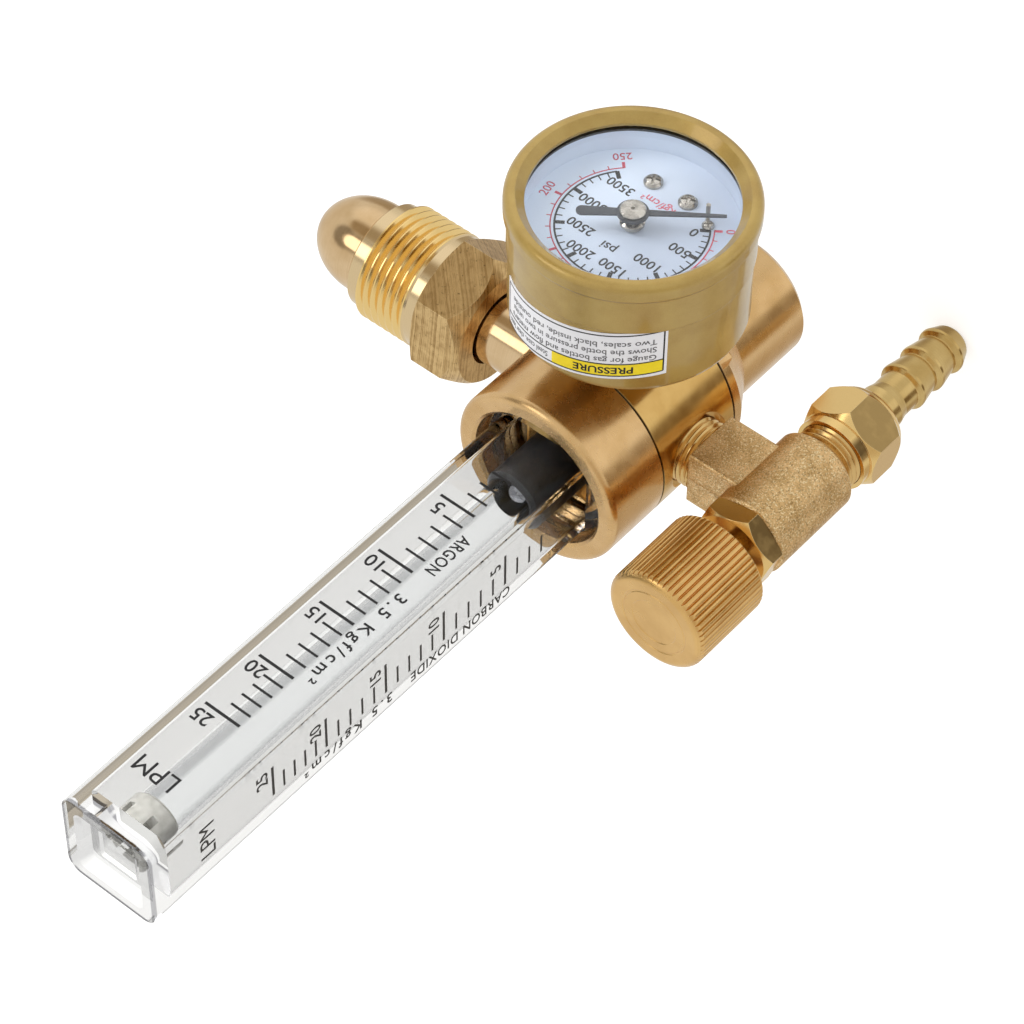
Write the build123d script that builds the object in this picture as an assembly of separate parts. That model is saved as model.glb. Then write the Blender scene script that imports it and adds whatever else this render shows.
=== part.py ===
"""Argon flowmeter regulator: preset pressure regulator, bourdon gauge, flow tube and outlet valve.

Frame: +X points out of the inlet towards the gas cylinder, +Z runs up the flow tube, and the gauge
faces -Y.  The origin is on the inlet axis, midway along the thread of the inlet nut.
Every shape is drawn about the barrel axis, and export() moves it to that origin.
"""
from build123d import *
import math
import os

# ---- driving dimensions, millimetres ----
INLET_REACH = 49.6          # barrel axis to the middle of the inlet thread
BARREL_R = 18.7
SEAM_TOP = 10.4             # joint between body and collar
SEAM_LOW = -10.35           # joint between body and bonnet
SEAM_CHAMFER = 0.25
COLLAR_TOP = 25.0
COLLAR_MOUTH_R = 14.6
SPIGOT_R = 15.9             # threaded top of the body, inside the collar
SPIGOT_TOP = 17.0

TUBE_WIDTH = 20.4
TUBE_WALL = 2.0
TUBE_CORNER_R = 3.0
TUBE_TIP = 136.85
TUBE_FOOT = 17.3            # underside of the tube's foot flange
TUBE_FLANGE_TOP = 19.7
INNER_TUBE_R = 4.9
SEAT_R = 6.0
SEAT_FOOT = 10.85
SEAT_TOP = 32.0
SOCKET_FLOOR = 26.0         # inner tube stands on this step of the seat
BALL_R = 2.9
STOP_LOW = 124.5
STOP_TOP = 131.0

BONNET_R = 14.13
BONNET_END = -38.6
CONE_START = -12.4
CONE_END = -19.2
DIAPHRAGM_FACE = -7.4       # body face that the diaphragm seals against
DIAPHRAGM_T = 0.5
PLATE_R = 9.0
RIVET_TOP = -7.0            # top of the rivet that lifts the poppet
SPRING_TOP = -9.4
SPRING_LOW = -27.0
SPRING_R = 5.6
SPRING_WIRE_R = 0.85
PRESET_PITCH = 1.25
CHAMBER_TOP = 2.8           # roof of the high-pressure chamber
NOZZLE_TOP = -2.3
CHAMBER_FLOOR = -2.2

STEM_R = 7.4
NOSE_R = 9.4
NOSE_SHOULDER = 61.5        # the bullet nose starts here
NOSE_TIP = 73.4
NUT_BACK = 29.5
HEX_FRONT = 41.0
THREAD_START = 44.0
THREAD_END = 55.2
NUT_FRONT = 58.6
INLET_THREAD_R = 12.25
INLET_PITCH = 1.814
INLET_THREAD_DEPTH = 0.95
INLET_HEX_AF = 25.4
INLET_HEX_TURN = 8.0        # degrees from a vertex facing the gauge side

GAUGE_Z = -1.08             # gauge axis height; distances below run out from the barrel axis
CASE_BACK = 26.7
CASE_FRONT = 47.0
CASE_R = 22.1
BEZEL_BACK = 42.3
BEZEL_FRONT = 54.3
BEZEL_R = 23.1
GLASS_OPEN_R = 19.24
LENS_TOP = 52.0
LENS_T = 1.7
GASKET_T = 0.5
DIAL_TOP = 45.4
DIAL_T = 0.6
DIAL_R = 20.3
PLATE_LOW = 33.6            # gauge movement, lower plate underside
PLATE_T = 1.2
PLATE_GAP = 4.8
PINION_TEETH = 8
SECTOR_TEETH = 72           # teeth on the whole circle that the sector is cut from
GEAR_MODULE = 0.25
SECTOR_REST = -105.0        # direction of the sector's middle at zero pressure
TAIL_REACH = 3.2            # sector arbor to the link's pin
POINTER_TURN = 232.7        # zero position, clockwise from the top
BOURDON_R = 16.0
STOP_PIN = (-9.2, -9.9)     # pin beside the pointer's zero, in the gauge's own plane
POINTER_LOW = 48.7
POINTER_T = 0.35
ARBOR_TOP = 48.9

VALVE_X = -37.46
CAST_R = 8.4
CAST_LOW = -11.0
CAST_TOP = 10.4
ARM_WIDTH = 12.8
ARM_END = -21.0
STUB_R = 6.75
STUB_END = -12.9
PACKING_AF = 15.5
PACKING_TOP = 14.7
KNOB_R = 10.7
KNOB_LOW = 18.6
KNOB_ROUND = 1.6            # rounding of the knob's end
KNOB_TOP = 36.7
KNOB_RIBS = 56
VALVE_STEM_R = 2.5
OUTLET_END = -22.0
UNION_TOP = -15.2
UNION_LOW = -28.0
UNION_AF = 16.2
BARB_TIP = -52.75
BARB_R = 5.0
BARB_ROOT_R = 4.15
BARB_EDGES = (-37.4, -43.3, -49.2)

RUN = 0.05                  # radial clearance of running fits
GAP = 0.1                   # clearance of assembled but fixed fits

TO_FRONT = Rotation(90, 0, 0)
TO_INLET = Rotation(0, 90, 0)
TO_OUTLET = Rotation(0, -90, 0)
TO_BACK = Rotation(-90, 0, 0)
GAUGE = Pos(0, 0, GAUGE_Z) * TO_FRONT
VALVE = Pos(VALVE_X, 0, 0)


# ---- shared shapes ----
def turned(*outline):
    """Solid of revolution about Z from (radius, height) points."""
    return revolve(make_face(Plane.XZ * Polyline(*outline, close=True)), Axis.Z)


def rod(radius, low, high):
    """Cylinder about Z between two heights."""
    return Pos(0, 0, low) * Cylinder(radius, high - low, align=(Align.CENTER, Align.CENTER, Align.MIN))


def tube(outer, inner, low, high):
    """Ring about Z between two heights."""
    return rod(outer, low, high) - rod(inner, low - 1, high + 1)


def block(width, depth, low, high):
    """Box centred on Z between two heights."""
    return Pos(0, 0, low) * Box(width, depth, high - low, align=(Align.CENTER, Align.CENTER, Align.MIN))


def drilled(start, end, radius):
    """Straight round passage between two points."""
    run = Vector(*end) - Vector(*start)
    return Plane(origin=start, z_dir=run) * rod(radius, 0, run.length)


def rounded_square(width, corner, low, high):
    """Square prism with round vertical corners."""
    return Pos(0, 0, low) * extrude(RectangleRounded(width, width, corner), high - low)


def thread_outline(radius, depth, low, high, pitch):
    """Crests and valleys of an outside thread, as rings, from low to high."""
    turns = int((high - low) / pitch)
    land = 0.15 * pitch
    points = []
    for turn in range(turns):
        base = low + turn * pitch
        points.append((radius, base + land))
        points.append((radius - depth, base + (land + pitch) / 2))
        points.append((radius, base + pitch))
    return [(radius, low)] + points + [(radius, high)]


def hexagon(across_flats, low, high, turn=0.0):
    """Hexagonal prism with one vertex on +X turned by an angle."""
    section = RegularPolygon(across_flats / 2, 6, major_radius=False, rotation=turn)
    return Pos(0, 0, low) * extrude(section, high - low)


def corner_cone(across_flats, low, high, low_chamfer, high_chamfer):
    """Turned blank whose chamfers, each (depth, length), round off a hexagon's corners."""
    corner = across_flats / math.sqrt(3) + 0.01
    low_depth, low_length = low_chamfer
    high_depth, high_length = high_chamfer
    outline = [(0, low), (corner - low_depth, low), (corner, low + low_length)]
    outline += [(corner, high - high_length), (corner - high_depth, high), (0, high)]
    return turned(*outline)


def coil(radius, wire, low, high, turns):
    """Helical spring whose wire stays between two heights."""
    rise = high - low - 2 * wire
    path = Pos(0, 0, low + wire) * Helix(rise / turns, rise, radius)
    section = Plane(origin=path @ 0, z_dir=path % 0) * Circle(wire)
    return sweep(section, path, is_frenet=True)


def export(name, shape):
    """Write one node, moved from the barrel axis to the frame's origin."""
    export_step(Pos(-INLET_REACH, 0, 0) * shape, f"parts/{name}.step")


# ---- regulator body ----
def make_body():
    """Barrel block with its ports and gas passages."""
    counterbore_r = SPIGOT_R + 0.3
    chamfer = SEAM_CHAMFER
    blank = turned(
        (0, SEAM_LOW), (BARREL_R - chamfer, SEAM_LOW), (BARREL_R, SEAM_LOW + chamfer),
        (BARREL_R, SEAM_TOP - chamfer), (BARREL_R - chamfer, SEAM_TOP), (SPIGOT_R - 0.6, SEAM_TOP),
        *thread_outline(SPIGOT_R, 0.6, SEAM_TOP + 1.0, SPIGOT_TOP - 0.4, 1.0),
        (SPIGOT_R - 0.6, SPIGOT_TOP), (0, SPIGOT_TOP),
    )
    seat_recess = rod(SEAT_R + GAP, 9.0, SPIGOT_TOP + 1)
    bonnet_recess = rod(counterbore_r, SEAM_LOW - 1, DIAPHRAGM_FACE)
    low_recess = rod(12.5, DIAPHRAGM_FACE - 1, DIAPHRAGM_FACE + 1)
    low_groove = tube(12.5, 6.6, DIAPHRAGM_FACE - 1, DIAPHRAGM_FACE + 1.8)
    nozzle_bore = rod(5.0, DIAPHRAGM_FACE - 1, CHAMBER_FLOOR)
    chamber = rod(3.7, CHAMBER_FLOOR - 0.5, CHAMBER_TOP)
    inlet_port = TO_INLET * (rod(6.55, 12.0, BARREL_R + 1) + rod(1.5, 2, 13))
    inlet_spotface = TO_INLET * rod(STEM_R + GAP, BARREL_R - 0.4, BARREL_R + 1)
    gauge_port = GAUGE * (rod(4.95, 12.5, BARREL_R + 1) + rod(0.7, 2, 13))
    gauge_spotface = GAUGE * rod(8.2, 18.3, BARREL_R + 1)
    outlet_port = TO_OUTLET * (rod(STUB_R + GAP, 12.5, BARREL_R + 1) + rod(1.25, 9.5, 13))
    outlet_spotface = TO_OUTLET * rod(7.9, 17.3, BARREL_R + 1)
    feed = drilled((0, 9.6, -6.2), (0, 2.3, 9.2), 1.1)
    take_off = Pos(-9.5, 0, 0) * rod(1.25, 0, SPIGOT_TOP + 1)
    oring_groove = tube(13.2, 11.6, SPIGOT_TOP - 1.2, SPIGOT_TOP + 1)
    blank -= seat_recess
    blank -= bonnet_recess + low_recess + low_groove
    blank -= nozzle_bore
    blank -= chamber
    blank -= inlet_port + inlet_spotface
    blank -= gauge_port + gauge_spotface
    blank -= outlet_port + outlet_spotface
    return blank - feed - take_off - oring_groove


def make_collar():
    """Clamp nut that holds the flow tube's foot on the body."""
    edge = 1.5
    outline = Polyline(
        (SPIGOT_R + GAP, SEAM_TOP), (BARREL_R - SEAM_CHAMFER, SEAM_TOP),
        (BARREL_R, SEAM_TOP + SEAM_CHAMFER), (BARREL_R, COLLAR_TOP - edge),
    )
    crown = RadiusArc((BARREL_R, COLLAR_TOP - edge), (BARREL_R - edge, COLLAR_TOP), -edge)
    mouth = Polyline(
        (BARREL_R - edge, COLLAR_TOP), (COLLAR_MOUTH_R + 0.6, COLLAR_TOP),
        (COLLAR_MOUTH_R, COLLAR_TOP - 0.6), (COLLAR_MOUTH_R, TUBE_FLANGE_TOP),
        (SPIGOT_R + GAP, TUBE_FLANGE_TOP), (SPIGOT_R + GAP, SEAM_TOP),
    )
    return revolve(make_face(Plane.XZ * Curve([outline, crown, mouth])), Axis.Z)


# ---- flow tube ----
def make_outer_tube():
    """Clear square tube with a round foot and a stepped, closed tip."""
    shell = rounded_square(TUBE_WIDTH, TUBE_CORNER_R, TUBE_FOOT, TUBE_TIP)
    foot = rod(SPIGOT_R - 0.1, TUBE_FOOT, TUBE_FLANGE_TOP)
    boss = turned((0, TUBE_FOOT), (14.2, TUBE_FOOT), (14.2, 21.4), (13.4, 22.6), (0, 22.6))
    shell += foot + boss
    inside = TUBE_WIDTH - 2 * TUBE_WALL
    cavity_top = TUBE_TIP - 5.2
    shell -= rounded_square(inside, TUBE_CORNER_R - 1.2, TUBE_FOOT - 1, cavity_top)
    recess = Pos(0, 0, TUBE_TIP - 2.2) * loft([
        RectangleRounded(12.2, 12.2, 1.0),
        Pos(0, 0, 2.3) * RectangleRounded(15.4, 15.4, 2.0),
    ])
    shell -= recess
    return shell - rounded_square(8.4, 0.5, TUBE_TIP - 3.0, TUBE_TIP - 2)


def make_inner_tube():
    """Rotameter tube: a slowly widening bore around the float."""
    length = STOP_LOW - SOCKET_FLOOR
    bore = turned((0, 0), (3.02, 0), (3.02, 7), (3.9, length + 0.1), (0, length + 0.1))
    return rod(INNER_TUBE_R, SOCKET_FLOOR, STOP_LOW) - Pos(0, 0, SOCKET_FLOOR) * bore


def make_tube_seat():
    """Black seat that carries the inner tube on the body."""
    seat = turned(
        (1.6, SEAT_FOOT), (SEAT_R, SEAT_FOOT), (SEAT_R, SEAT_TOP - 0.8), (SEAT_R - 0.8, SEAT_TOP),
        (INNER_TUBE_R + RUN, SEAT_TOP), (INNER_TUBE_R + RUN, SOCKET_FLOOR), (1.6, SOCKET_FLOOR),
    )
    return seat


def ball_rest_height():
    """Height of the float's centre when it sits on the seat's orifice."""
    return SOCKET_FLOOR + math.sqrt(BALL_R**2 - 1.6**2) + 0.02


def make_float_stop():
    """Slotted cap on the end of the inner tube that keeps the float in."""
    cap = turned(
        (0, STOP_LOW), (INNER_TUBE_R, STOP_LOW), (5.4, STOP_LOW + 0.6), (5.4, STOP_TOP - 0.6),
        (4.9, STOP_TOP), (0, STOP_TOP),
    )
    cap -= rod(3.4, STOP_LOW + 1.2, STOP_TOP + 1)
    cap -= rod(1.0, STOP_LOW - 1, STOP_LOW + 2)
    for turn in range(6):
        cap -= Rotation(0, 0, 60 * turn) * Pos(4.6, 0, 0) * block(3.0, 1.5, STOP_TOP - 3.4, STOP_TOP + 1)
    return cap


def make_seal(radius, wire, height):
    """O-ring about the barrel axis."""
    return Pos(0, 0, height) * Torus(radius, wire)


# ---- pressure regulator inside the barrel ----
def make_bonnet():
    """Spring cover screwed into the underside of the body, with hook-spanner slots."""
    end_edge = 1.3
    spigot_top = DIAPHRAGM_FACE - 2 * DIAPHRAGM_T
    shell = turned(
        (0, spigot_top), (SPIGOT_R + 0.2, spigot_top), (SPIGOT_R + 0.2, SEAM_LOW),
        (BARREL_R - SEAM_CHAMFER, SEAM_LOW), (BARREL_R, SEAM_LOW - SEAM_CHAMFER), (BARREL_R, CONE_START),
        (BONNET_R, CONE_END), (BONNET_R, BONNET_END + end_edge), (BONNET_R - end_edge, BONNET_END),
        (0, BONNET_END),
    )
    shell -= rod(12.5, -12.6, spigot_top + 1)
    shell -= rod(8.2, -31, -12)
    shell -= rod(5.0, BONNET_END - 1, -30)
    slot = Pos(0, -(BARREL_R - 2.2 + 5), 0) * block(5.8, 10, -15.3, -10.8)
    for turn in range(4):
        shell -= Rotation(0, 0, -45 + 90 * turn) * slot
    return shell


def make_diaphragm():
    """Rubber disc that closes the low-pressure chamber."""
    return tube(SPIGOT_R, 2.0, DIAPHRAGM_FACE - DIAPHRAGM_T, DIAPHRAGM_FACE)


def make_diaphragm_ring():
    """Slip washer between diaphragm and bonnet."""
    return tube(SPIGOT_R, 12.6, DIAPHRAGM_FACE - 2 * DIAPHRAGM_T, DIAPHRAGM_FACE - DIAPHRAGM_T)


def make_diaphragm_plate():
    """Plate under the diaphragm, with a centre rivet and a spring boss."""
    top = DIAPHRAGM_FACE - DIAPHRAGM_T
    return turned(
        (0, SPRING_TOP - 1.1), (4.2, SPRING_TOP - 1.1), (4.2, SPRING_TOP), (PLATE_R, SPRING_TOP),
        (PLATE_R, top), (1.9, top), (1.9, RIVET_TOP), (0, RIVET_TOP),
    )


def make_range_spring():
    """Range spring between the diaphragm plate and the spring button."""
    return coil(SPRING_R, SPRING_WIRE_R, SPRING_LOW + 0.02, SPRING_TOP - 0.02, 6.5)


def make_spring_button():
    """Disc that carries the range spring on the adjusting screw."""
    return turned((0, -28.6), (7.6, -28.6), (7.6, SPRING_LOW), (4.2, SPRING_LOW), (4.2, -26), (0, -26))


def make_adjusting_screw():
    """Preset screw with a hexagon socket, turned from the bonnet's end."""
    top = -28.65
    low = BONNET_END + 0.9
    screw = turned(
        (0, low), (4.4, low), *thread_outline(4.93, 0.6, low + 0.5, top - 0.4, PRESET_PITCH),
        (4.4, top), (0, top),
    )
    return screw - hexagon(4.0, low - 1, low + 4)


def make_seat_nozzle():
    """High-pressure seat screwed into the body."""
    return turned(
        (1.5, -5.8), (4.93, -5.8), (4.93, -2.9), (3.0, -2.9), (2.0, NOZZLE_TOP), (1.5, NOZZLE_TOP),
    )


def make_poppet():
    """Valve disc above the nozzle, with a pin down to the diaphragm plate."""
    low = NOZZLE_TOP + 0.02
    foot = RIVET_TOP + 0.02
    return turned(
        (0, foot), (0.9, foot), (0.9, low), (2.3, low), (2.3, 0.6), (0.8, 0.6), (0.8, 1.6), (0, 1.6),
    )


def make_poppet_spring():
    """Light spring that closes the poppet."""
    return coil(1.5, 0.2, 0.62, CHAMBER_TOP - 0.02, 3.5)


# ---- inlet ----
def make_inlet_nipple():
    """Bullet-nosed nipple that seals in the cylinder valve."""
    body = turned(
        (0, 12.2), (6.5, 12.2), (6.5, BARREL_R - 0.4), (STEM_R, BARREL_R - 0.4), (STEM_R, 45.2),
        (NOSE_R, 45.2), (NOSE_R, NOSE_SHOULDER), (0, NOSE_SHOULDER),
    )
    flank = EllipticalCenterArc(
        (0, NOSE_SHOULDER), NOSE_R, NOSE_TIP - NOSE_SHOULDER, start_angle=0, arc_size=90
    )
    rest = Polyline((0, NOSE_TIP), (0, NOSE_SHOULDER), (NOSE_R, NOSE_SHOULDER))
    body += revolve(make_face(Plane.XZ * Curve([flank, rest])), Axis.Z)
    body -= rod(1.5, 12, NOSE_TIP + 1)
    return TO_INLET * (body - rod(3.0, 12, 34))


def make_inlet_filter():
    """Sintered filter pressed into the nipple."""
    filter_plug = turned((0, 15), (2.95, 15), (2.95, 30), (1.6, 33), (0, 33))
    return TO_INLET * (filter_plug - rod(1.4, 14, 28))


def make_inlet_nut():
    """Union nut with the cylinder valve's outside thread."""
    turn = INLET_HEX_TURN - 90
    head = hexagon(INLET_HEX_AF, NUT_BACK, HEX_FRONT, turn)
    head &= corner_cone(INLET_HEX_AF, NUT_BACK, HEX_FRONT, (2.6, 3.4), (2.0, 0.9))
    collar_r = INLET_THREAD_R - 0.3
    land_r = INLET_THREAD_R - 1.2
    shank = turned(
        (0, HEX_FRONT - 1), (collar_r, HEX_FRONT - 1), (collar_r, THREAD_START - 0.5),
        *thread_outline(INLET_THREAD_R, INLET_THREAD_DEPTH, THREAD_START, THREAD_END, INLET_PITCH),
        (land_r, THREAD_END + 0.3), (land_r, NUT_FRONT - 0.3), (land_r - 0.3, NUT_FRONT), (0, NUT_FRONT),
    )
    nut = head + shank
    nut -= rod(STEM_R + GAP, NUT_BACK - 1, 46)
    nut -= rod(STEM_R + 0.6, NUT_BACK - 1, NUT_BACK + 3)
    nut -= rod(NOSE_R + GAP, 45.1, NUT_FRONT + 1)
    return TO_INLET * nut


# ---- pressure gauge, drawn about its own axis with the dial facing up ----
def make_gauge_socket():
    """Connection stem, centre block and root block of the bourdon tube."""
    stem = rod(4.9, 12.6, 18.4) + block(11, 11, 18.4, CASE_BACK)
    stem += rod(5.5, CASE_BACK, PLATE_LOW)
    arm = Pos(9, 0, 0) * block(18, 4, CASE_BACK + 1, PLATE_LOW - 0.2)
    upright = Pos(16.2, 0, 0) * block(3.6, 4, CASE_BACK + 1, 40.5)
    root = Rotation(0, 0, -60) * Pos(0, -2, 0) * (arm + upright)
    passage = rod(0.8, 12, 30.5)
    reach = Rotation(0, 0, -60) * drilled((0, -2, 30.5), (BOURDON_R, -2, 30.5), 0.7)
    rise = Rotation(0, 0, -60) * drilled((BOURDON_R, -2, 30.5), (BOURDON_R, -2, 37), 0.6)
    leave = Rotation(0, 0, -60) * drilled((BOURDON_R, -2, 37), (BOURDON_R, 1, 37), 0.6)
    return GAUGE * (stem + root - passage - reach - rise - leave)


def make_bourdon_tube():
    """Flattened C-shaped tube that uncurls under pressure."""
    outer = Pos(BOURDON_R, 37) * RectangleRounded(1.9, 6.2, 0.9)
    inner = Pos(BOURDON_R, 37) * RectangleRounded(1.3, 5.4, 0.6)
    ring = revolve(Plane.XZ * (outer - inner), Axis.Z, 197)
    return GAUGE * Rotation(0, 0, -60) * ring


def make_bourdon_tip():
    """Plug soldered in the tube's free end, forked round the link."""
    plug = Pos(BOURDON_R, 0.9, 0) * block(2.4, 1.8, 33.8, 40.2)
    fork = Pos(BOURDON_R - 2.4, 0.9, 0) * block(2.6, 1.8, 35.6, 38.8)
    slot = Pos(BOURDON_R - 1.7, 0.9, 0) * block(4.2, 3, 36.6, 37.9)
    return GAUGE * Rotation(0, 0, 137) * (plug + fork - slot)


def make_movement_plates():
    """Two brass plates that carry the sector and the pinion."""
    plates = []
    for low in (PLATE_LOW, PLATE_LOW + PLATE_T + PLATE_GAP):
        plate = Pos(0, -0.3, low) * extrude(RectangleRounded(17.6, 24.6, 3), PLATE_T)
        plate -= rod(0.55, low - 1, low + PLATE_T + 1)
        plate -= Pos(0, 10, 0) * rod(0.6, low - 1, low + PLATE_T + 1)
        plates.append(GAUGE * plate)
    return Compound(children=plates)


def make_movement_posts():
    """Spacers between the movement plates."""
    low = PLATE_LOW + PLATE_T
    places = ((-7.3, 2), (7.3, 2), (0, -7))
    posts = [GAUGE * Pos(x, y, 0) * rod(1.1, low, low + PLATE_GAP) for x, y in places]
    return Compound(children=posts)


def gear_tooth(root_r, tip_r, low, high):
    """One narrow tooth pointing along +X, with backlash on both flanks."""
    root_half = 0.15
    tip_half = 0.06
    section = Polyline(
        (root_r - 0.15, -root_half), (tip_r, -tip_half), (tip_r, tip_half), (root_r - 0.15, root_half),
        close=True,
    )
    return Pos(0, 0, low) * extrude(make_face(section), high - low)


def make_pinion():
    """Pinion and pointer arbor in one piece."""
    pitch_r = GEAR_MODULE * PINION_TEETH / 2
    root_r = pitch_r - 0.3
    low = PLATE_LOW + PLATE_T + 0.2
    pinion = rod(0.5, PLATE_LOW + 0.1, ARBOR_TOP) + rod(root_r, low, low + 4.2)
    for tooth in range(PINION_TEETH):
        turn = 360 / PINION_TEETH * (tooth + 0.5) + 90
        pinion += Rotation(0, 0, turn) * gear_tooth(root_r, pitch_r + 0.1, low + 0.6, low + 3.6)
    return GAUGE * pinion


def make_sector_gear():
    """Toothed sector on its arbor, driven by the link."""
    pitch_r = GEAR_MODULE * SECTOR_TEETH / 2
    low = PLATE_LOW + PLATE_T + 1.2
    high = low + 2.2
    step = 360 / SECTOR_TEETH
    root_r = pitch_r - 0.3
    span = math.radians(22)
    reach = 12
    wheel = rod(root_r, low, high) - rod(root_r - 1.1, low - 1, high + 1)
    fan = make_face(Polyline(
        (0, 0), (reach * math.cos(span), -reach * math.sin(span)), (reach, 0),
        (reach * math.cos(span), reach * math.sin(span)), close=True,
    ))
    blade = wheel & Pos(0, 0, low - 1) * extrude(fan, high - low + 2)
    blade += Pos(root_r / 2, 0, 0) * block(root_r, 1.6, low, high)
    blade += Pos(-2.1, 0, 0) * block(2.2, 1.4, low, low + 0.9)
    blade += Pos(-TAIL_REACH, 0, 0) * rod(0.9, low, low + 0.9)
    blade += Pos(-TAIL_REACH, 0, 0) * rod(0.35, low, high + 0.1)
    for tooth in range(-4, 5):
        blade += Rotation(0, 0, step * tooth) * gear_tooth(root_r, pitch_r + 0.1, low, high)
    sector = Rotation(0, 0, SECTOR_REST) * blade
    sector += rod(0.55, PLATE_LOW + 0.1, PLATE_LOW + 2 * PLATE_T + PLATE_GAP - 0.1) + rod(1.4, low, high)
    return GAUGE * Pos(0, 10, 0) * sector


def link_pin():
    """Rest place of the sector's tail pin in the gauge's own plane."""
    rest = math.radians(SECTOR_REST)
    return (-TAIL_REACH * math.cos(rest), 10 - TAIL_REACH * math.sin(rest))


def make_link():
    """Connecting link from the sector's tail to the bourdon tip."""
    x, y = link_pin()
    tip = math.radians(140)
    end_x = (BOURDON_R - 2.9) * math.cos(tip)
    end_y = (BOURDON_R - 2.9) * math.sin(tip)
    low = PLATE_LOW + PLATE_T + 2.2
    length = math.hypot(end_x - x, end_y - y)
    turn = math.degrees(math.atan2(end_y - y, end_x - x))
    link = Pos(length / 2, 0, 0) * block(length, 1.0, low, low + 0.8)
    link += rod(0.85, low, low + 0.8) + Pos(length, 0, 0) * rod(0.7, low, low + 0.8)
    link -= rod(0.4, low - 1, low + 2)
    return GAUGE * Pos(x, y, 0) * Rotation(0, 0, turn) * link


def make_hairspring():
    """Flat spiral that takes up the movement's backlash."""
    turns, steps, thickness = 3.5, 96, 0.15
    inner, outer = 0.75, 4.2
    angles = [2 * math.pi * turns * k / steps for k in range(steps + 1)]
    radii = [inner + (outer - inner) * k / steps for k in range(steps + 1)]
    near = [(r * math.cos(a), r * math.sin(a)) for r, a in zip(radii, angles)]
    far = [((r + thickness) * math.cos(a), (r + thickness) * math.sin(a)) for r, a in zip(radii, angles)]
    ribbon = make_face(Polyline(*near, *reversed(far), close=True))
    return GAUGE * Pos(0, 0, 41.6) * extrude(ribbon, 0.6)


def make_gauge_case():
    """Painted steel cup with a stepped neck for the bezel."""
    neck_r = CASE_R - 0.6
    cup = turned(
        (6.2, CASE_BACK), (CASE_R - 1.2, CASE_BACK), (CASE_R - 0.35, CASE_BACK + 0.35),
        (CASE_R, CASE_BACK + 1.2), (CASE_R, BEZEL_BACK - 0.1), (neck_r, BEZEL_BACK - 0.1),
        (neck_r, CASE_FRONT), (neck_r - 0.9, CASE_FRONT), (neck_r - 0.9, CASE_BACK + 1),
        (6.2, CASE_BACK + 1),
    )
    return GAUGE * cup


def make_gauge_bezel():
    """Rolled bezel ring that holds the lens."""
    skirt_r = CASE_R + 0.35
    inside = CASE_R - 0.55
    outline = Polyline(
        (inside, BEZEL_BACK), (skirt_r, BEZEL_BACK), (skirt_r, BEZEL_FRONT - 4.4),
        (BEZEL_R, BEZEL_FRONT - 3.4), (BEZEL_R, BEZEL_FRONT - 1.6),
    )
    roll = RadiusArc((BEZEL_R, BEZEL_FRONT - 1.6), (BEZEL_R - 1.6, BEZEL_FRONT), -1.6)
    front = Polyline(
        (BEZEL_R - 1.6, BEZEL_FRONT), (BEZEL_R - 2.2, BEZEL_FRONT), (GLASS_OPEN_R, LENS_TOP + 0.6),
        (GLASS_OPEN_R, LENS_TOP + 0.05), (inside, LENS_TOP + 0.05), (inside, BEZEL_BACK),
    )
    return GAUGE * revolve(make_face(Plane.XZ * Curve([outline, roll, front])), Axis.Z)


def make_gauge_lens():
    """Clear window."""
    return GAUGE * rod(CASE_R - 0.7, LENS_TOP - LENS_T, LENS_TOP)


def make_lens_ring():
    """White ring from the dial's rim up to the gasket."""
    low = DIAL_TOP + 0.01
    shoulder = CASE_FRONT + 0.05
    high = LENS_TOP - LENS_T - GASKET_T
    inside = GLASS_OPEN_R + 0.3
    return GAUGE * turned(
        (inside, low), (CASE_R - 1.6, low), (CASE_R - 1.6, shoulder), (CASE_R - 0.7, shoulder),
        (CASE_R - 0.7, high), (inside, high),
    )


def make_lens_gasket():
    """Black gasket under the lens."""
    high = LENS_TOP - LENS_T
    return GAUGE * tube(CASE_R - 0.7, GLASS_OPEN_R + 0.3, high - GASKET_T, high)


def screw_places():
    """Dial screws, as places in the gauge's own plane."""
    return ((-3.95, -10.85), (3.95, -10.85))


def make_gauge_dial():
    """Dial plate with its arbor hole, screw holes and stop holes."""
    dial = rod(DIAL_R, DIAL_TOP - DIAL_T, DIAL_TOP) - rod(1.1, 44, 46)
    for x, y in screw_places():
        dial -= Pos(x, y, 0) * rod(0.95, 44, 46)
    dial -= Pos(-10.2, -8.75, 0) * rod(0.7, 44, 46)
    dial -= Pos(STOP_PIN[0], STOP_PIN[1], 0) * rod(0.45, 44, 46)
    return GAUGE * dial


def make_dial_pillars():
    """Pillars that carry the dial on the movement."""
    low = PLATE_LOW + 2 * PLATE_T + PLATE_GAP
    pillars = [
        GAUGE * Pos(x, y, 0) * tube(1.7, 0.95, low, DIAL_TOP - DIAL_T) for x, y in screw_places()
    ]
    return Compound(children=pillars)


def pan_screw(head_r, shank_r, head_h, low, top):
    """Pan-head screw with a cross recess; top is the underside of the head."""
    head = turned(
        (0, top), (head_r, top), (head_r, top + 0.4 * head_h), (0.72 * head_r, top + 0.85 * head_h),
        (0.3 * head_r, top + head_h), (0, top + head_h),
    )
    cross = block(1.5 * head_r, 0.3 * head_r, top + 0.35 * head_h, top + 2)
    return head - cross - Rotation(0, 0, 90) * cross + rod(shank_r, low, top)


def make_dial_screws():
    """Two cross-head screws that hold the dial."""
    screw = Rotation(0, 0, 25) * pan_screw(1.8, 0.9, 1.15, 41.5, DIAL_TOP)
    screws = [GAUGE * Pos(x, y, 0) * screw for x, y in screw_places()]
    return Compound(children=screws)


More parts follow.
